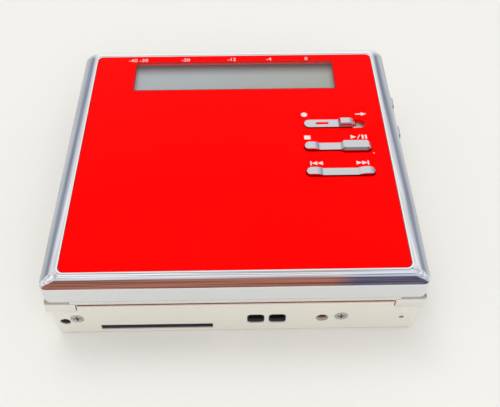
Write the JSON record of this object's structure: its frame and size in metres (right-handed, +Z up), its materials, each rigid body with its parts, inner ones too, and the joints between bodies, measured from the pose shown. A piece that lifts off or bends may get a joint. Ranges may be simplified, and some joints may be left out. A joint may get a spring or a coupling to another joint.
{
  "type": "portable minidisc recorder",
  "caption": "Flat square metal-cased portable minidisc recorder with a red panel, a slim display, rocker keys and a lid that lifts at the display end with its disc holder.",
  "frame": {"origin": "middle of the flat underside of the base", "axes": "+X to the right of the front panel, +Y away from the hinge towards the display end, +Z up through the panel"},
  "size_m": [0.081, 0.0756, 0.0204],
  "materials": {
    "fascia_red": "pure red, clear coated, glossy",
    "polished_metal": "polished and lacquered aluminium",
    "satin_lid": "satin silver anodised",
    "satin_case": "satin champagne silver",
    "cast_frame": "fine satin die-casting",
    "key_metal": "metallised silver keys",
    "track_metal": "bright pressed channel",
    "clear_pane": "clear acrylic pane",
    "display_glass": "grey-green reflective display",
    "black_plastic": "black moulded",
    "ivory_plastic": "natural moulded",
    "spring_steel": "cold-rolled sheet, bright",
    "steel": "ground steel",
    "dark_steel": "blackened steel",
    "magnesium": "grey die-casting",
    "brass": "turned brass",
    "gold_contact": "gold-plated spring",
    "board_green": "solder-masked laminate",
    "chip_black": "moulded epoxy",
    "rubber": "soft rubber",
    "lens_glass": "coated lens",
    "battery_wrap": "plain blue sleeve on steel",
    "magnet": "sintered ferrite"
  },
  "bodies": {
    "base": {"bottom_cover": "satin_case", "mid_frame": "cast_frame", "hinge_pins": "steel", "face_screws": "steel", "bottom_screws": "dark_steel", "board_nuts": "brass", "main_board": "board_green", "board_chips": "chip_black", "slot_socket": "black_plastic", "socket_block": "black_plastic", "dock_contacts": "gold_contact", "threaded_insert": "brass", "battery": "battery_wrap", "battery_tray": "black_plastic", "battery_spring": "gold_contact", "deck_plate": "spring_steel", "deck_dampers": "rubber", "damper_screws": "steel", "spindle_motor": "magnesium", "guide_rods": "steel", "sled_motor": "steel", "phones_jack": "black_plastic", "mic_jack": "black_plastic", "line_jack": "black_plastic"},
    "battery_door": {"battery_door": "satin_case", "door_contact": "gold_contact"},
    "spindle": {"turntable": "black_plastic", "chuck_magnet": "magnet", "spindle_shaft": "steel"},
    "pickup": {"pickup_sled": "magnesium", "objective_lens": "lens_glass", "screw_follower": "ivory_plastic", "head_strap": "spring_steel"},
    "arm": {"head_arm": "spring_steel", "recording_head": "black_plastic"},
    "lead_screw": {"lead_screw": "brass"},
    "lid": {"lid_bezel": "polished_metal", "lid_frame": "satin_lid", "fascia_panel": "fascia_red", "display_window": "clear_pane", "lcd_cell": "display_glass", "lcd_frame": "black_plastic", "switch_board": "board_green", "key_domes": "gold_contact", "key_frame": "black_plastic", "rec_track": "track_metal", "side_switches": "chip_black", "lid_plate": "spring_steel", "lid_screws": "steel", "latch_strike": "steel"},
    "holder": {"disc_holder": "spring_steel", "holder_spring": "spring_steel"},
    "rec_slider": {"rec_slider": "key_metal", "rec_mark": "fascia_red"},
    "skip_key": {"skip_key": "key_metal"},
    "play_key": {"play_stop_key": "key_metal"},
    "mode_button": {"mode_button": "key_metal"},
    "edit_button": {"edit_button": "key_metal"},
    "open_switch": {"open_knob": "key_metal", "latch_hook": "steel"}
  },
  "joints": [
    {"name": "lid_hinge", "type": "hinge", "parent": "base", "child": "lid", "pos_m": [0, -0.0354, 0.011], "axis": [1, 0, 0], "range_deg": [0, 30]},
    {"name": "holder_tilt", "type": "hinge", "parent": "base", "child": "holder", "pos_m": [0, -0.0354, 0.011], "axis": [1, 0, 0], "range_deg": [0, 25.5]},
    {"name": "battery_door_hinge", "type": "hinge", "parent": "base", "child": "battery_door", "pos_m": [-0.038, 0.01695, 0.005], "axis": [0, 0, 1], "range_deg": [0, 90]},
    {"name": "spindle_spin", "type": "hinge", "parent": "base", "child": "spindle", "pos_m": [0, 0.002, 0.0085], "axis": [0, 0, 1], "continuous": true},
    {"name": "pickup_travel", "type": "slide", "parent": "base", "child": "pickup", "axis": [1, 0, 0], "range_m": [0, 0.0155]},
    {"name": "lead_screw_spin", "type": "hinge", "parent": "base", "child": "lead_screw", "pos_m": [0.02, -0.012, 0.0052], "axis": [1, 0, 0], "range_deg": [0, 4650.5]},
    {"name": "arm_lift", "type": "hinge", "parent": "pickup", "child": "arm", "pos_m": [0.0112, -0.0354, 0.011], "axis": [1, 0, 0], "range_deg": [0, 30]},
    {"name": "rec_slide", "type": "slide", "parent": "lid", "child": "rec_slider", "axis": [1, 0, 0], "range_m": [0, 0.0024], "stiffness_N_per_m": 120, "springref_m": -0.0005},
    {"name": "skip_rock", "type": "hinge", "parent": "lid", "child": "skip_key", "pos_m": [0.0241, -0.0081, 0.0175], "axis": [0, 1, 0], "range_deg": [-2, 2], "stiffness_Nm_per_rad": 0.05},
    {"name": "play_rock", "type": "hinge", "parent": "lid", "child": "play_key", "pos_m": [0.0241, -0.00005, 0.0175], "axis": [0, 1, 0], "range_deg": [-2, 2], "stiffness_Nm_per_rad": 0.05},
    {"name": "mode_press", "type": "slide", "parent": "lid", "child": "mode_button", "axis": [-1, 0, 0], "range_m": [0, 0.0005], "stiffness_N_per_m": 600, "springref_m": -0.0003},
    {"name": "edit_press", "type": "slide", "parent": "lid", "child": "edit_button", "axis": [-1, 0, 0], "range_m": [0, 0.0005], "stiffness_N_per_m": 600, "springref_m": -0.0003},
    {"name": "open_slide", "type": "slide", "parent": "base", "child": "open_switch", "axis": [0, 1, 0], "range_m": [0, 0.0025], "stiffness_N_per_m": 150, "springref_m": -0.0005}
  ],
  "couplings": [
    {"joint": "holder_tilt", "follows": "lid_hinge", "ratio": 0.85},
    {"joint": "arm_lift", "follows": "lid_hinge", "ratio": 1},
    {"joint": "lead_screw_spin", "follows": "pickup_travel", "rad_per_m": 5236}
  ]
}
